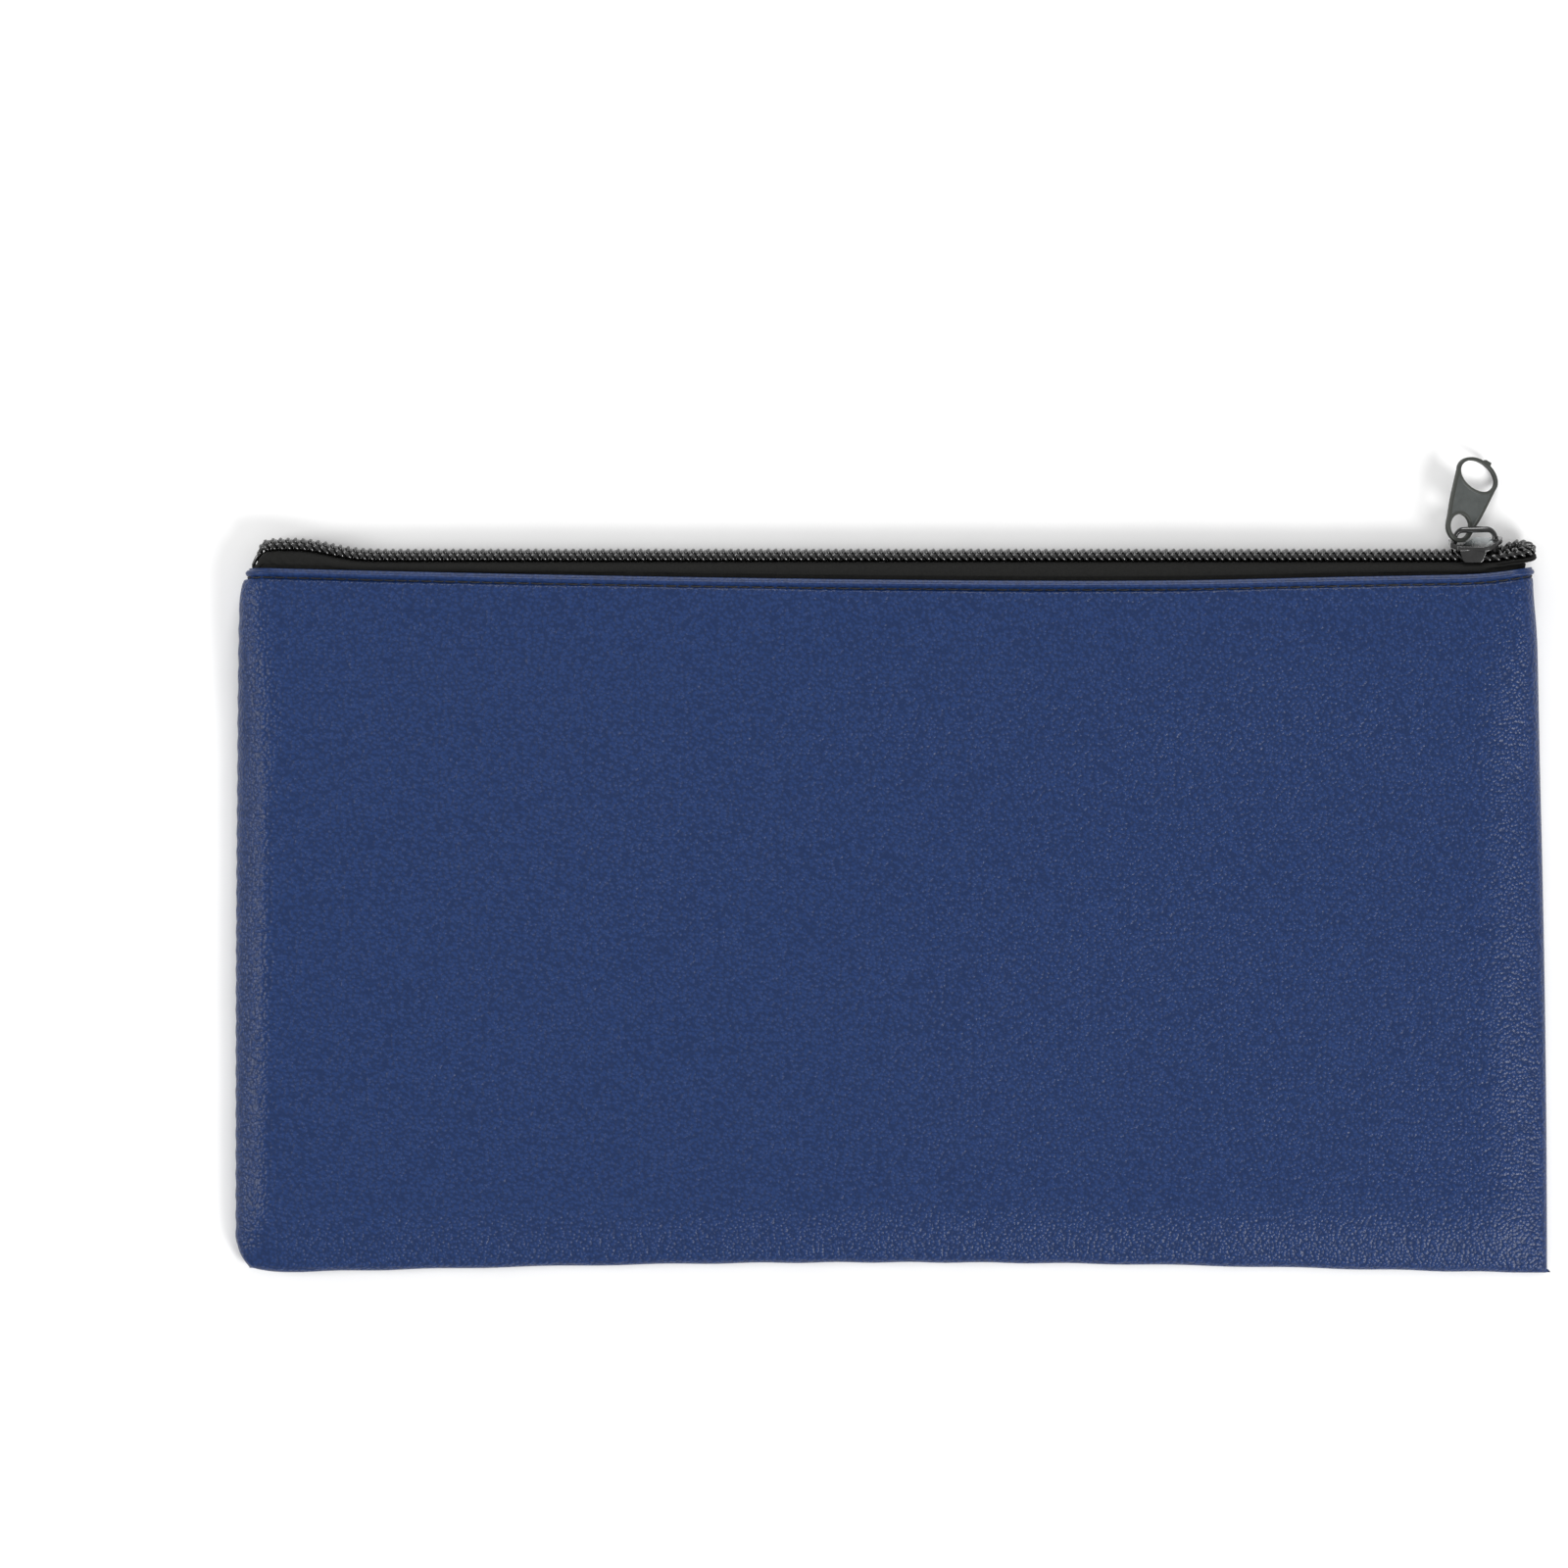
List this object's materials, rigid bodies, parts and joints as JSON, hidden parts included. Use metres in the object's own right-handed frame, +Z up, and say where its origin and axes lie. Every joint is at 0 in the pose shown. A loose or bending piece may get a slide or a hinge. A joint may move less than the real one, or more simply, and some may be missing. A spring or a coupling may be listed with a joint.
{
  "type": "cash deposit bag",
  "caption": "Flat zipped deposit bag in blue leatherette: folded and seamed body, stitched hem, black coil zip that turns round its end, slider with a swinging pull tab.",
  "frame": {"origin": "middle of the back panel's flat underside, which the bag lies on", "axes": "+X along the zip towards the end where it closes, +Y from the foot to the mouth, +Z up out of the front panel"},
  "size_m": [0.28, 0.1741, 0.0096],
  "materials": {
    "leatherette": "navy blue, fine pebble grain, satin",
    "leatherette_backing": "woven backing, matt",
    "thread": "twisted polyester thread",
    "zip_tape": "black woven herringbone tape",
    "coil_nylon": "black glossy nylon",
    "coil_cord": "black braided cord",
    "slider_enamel": "gunmetal enamel, glossy",
    "tab_metal": "gunmetal grey enamel, satin"
  },
  "bodies": {
    "bag": {"back_panel": "leatherette", "front_panel": "leatherette", "mouth_hem": "leatherette", "left_allowance_back": "leatherette_backing", "left_allowance_front": "leatherette_backing", "foot_allowance_back": "leatherette_backing", "foot_allowance_front": "leatherette_backing", "left_seam_thread": "thread", "foot_seam_thread": "thread", "hem_stitching": "thread", "zip_tape": "zip_tape", "zip_coil": "coil_nylon", "coil_cord": "coil_cord", "coil_stitching": "thread"},
    "slider": {"slider_body": "slider_enamel"},
    "pull": {"pull_tab": "tab_metal"}
  },
  "joints": [
    {"name": "slider_travel", "type": "slide", "parent": "bag", "child": "slider", "axis": [1, 0, 0], "range_m": [-0.229, 0]},
    {"name": "pull_swing", "type": "hinge", "parent": "slider", "child": "pull", "pos_m": [0.12034, 0.08427, 0.00571], "axis": [0.4867, 0.7424, 0.4604], "range_deg": [0, 150]}
  ]
}
